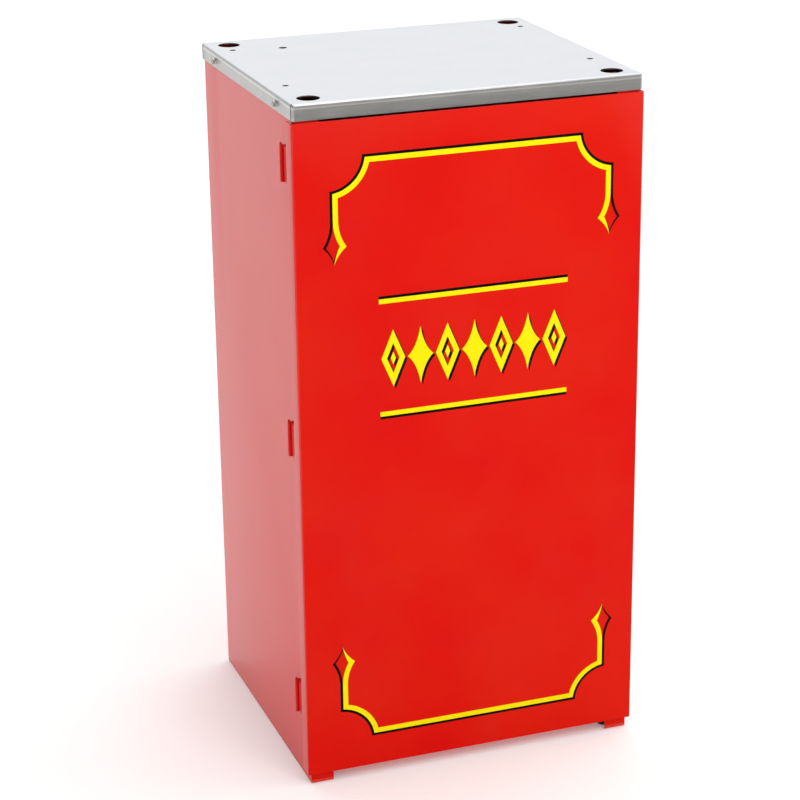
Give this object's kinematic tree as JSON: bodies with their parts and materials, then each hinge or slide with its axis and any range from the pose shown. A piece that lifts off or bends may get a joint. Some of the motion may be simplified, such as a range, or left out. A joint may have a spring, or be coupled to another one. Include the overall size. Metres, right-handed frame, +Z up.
{
  "type": "pedestal cabinet for a popcorn popper",
  "caption": "Red sheet-steel pedestal cabinet with a stainless tray top, a left-hinged full-front door with a magnetic catch, and rubber feet.",
  "frame": {"origin": "on the floor, under the centre of the tray top", "axes": "+Z up; the door faces -Y; the hinges are at the -X side"},
  "size_m": [0.4104, 0.3512, 0.798],
  "materials": {
    "red_powder_coat": "glossy powder coat",
    "hinge_red": "semi-gloss powder coat over welded steel",
    "stainless": "brushed left to right",
    "zinc_plate": "zinc plated",
    "black_rubber": "matt moulded rubber",
    "black_plastic": "fine grain",
    "ferrite": "sintered",
    "vinyl_yellow": "gloss vinyl film",
    "vinyl_black": "gloss vinyl film"
  },
  "bodies": {
    "cabinet": {"top_tray": "stainless", "tray_screws": "zinc_plate", "tray_clip_nuts": "zinc_plate", "foot_screws": "zinc_plate", "foot_nuts": "zinc_plate", "catch_screws": "zinc_plate", "catch_pole_plates": "zinc_plate", "left_side_panel": "red_powder_coat", "right_side_panel": "red_powder_coat", "back_panel": "red_powder_coat", "floor_pan": "red_powder_coat", "front_left_foot": "black_rubber", "front_right_foot": "black_rubber", "rear_left_foot": "black_rubber", "rear_right_foot": "black_rubber", "upper_door_bumper": "black_rubber", "lower_door_bumper": "black_rubber", "catch_housing": "black_plastic", "catch_magnet": "ferrite", "lower_hinge_body_leaf": "hinge_red", "lower_hinge_pin": "hinge_red", "middle_hinge_body_leaf": "hinge_red", "middle_hinge_pin": "hinge_red", "upper_hinge_body_leaf": "hinge_red", "upper_hinge_pin": "hinge_red"},
    "door": {"door_panel": "red_powder_coat", "door_stiffener": "red_powder_coat", "catch_strike_plate": "zinc_plate", "hinge_welds": "hinge_red", "upper_border_yellow": "vinyl_yellow", "upper_border_black": "vinyl_black", "lower_border_yellow": "vinyl_yellow", "lower_border_black": "vinyl_black", "bars_yellow": "vinyl_yellow", "bars_black": "vinyl_black", "ornament_yellow": "vinyl_yellow", "ornament_black": "vinyl_black", "lower_hinge_door_leaf": "hinge_red", "middle_hinge_door_leaf": "hinge_red", "upper_hinge_door_leaf": "hinge_red"}
  },
  "joints": [
    {"name": "door_hinge", "type": "hinge", "parent": "cabinet", "child": "door", "pos_m": [-0.2028, -0.1397, 0.415], "axis": [0, 0, -1], "range_deg": [0, 180]}
  ]
}
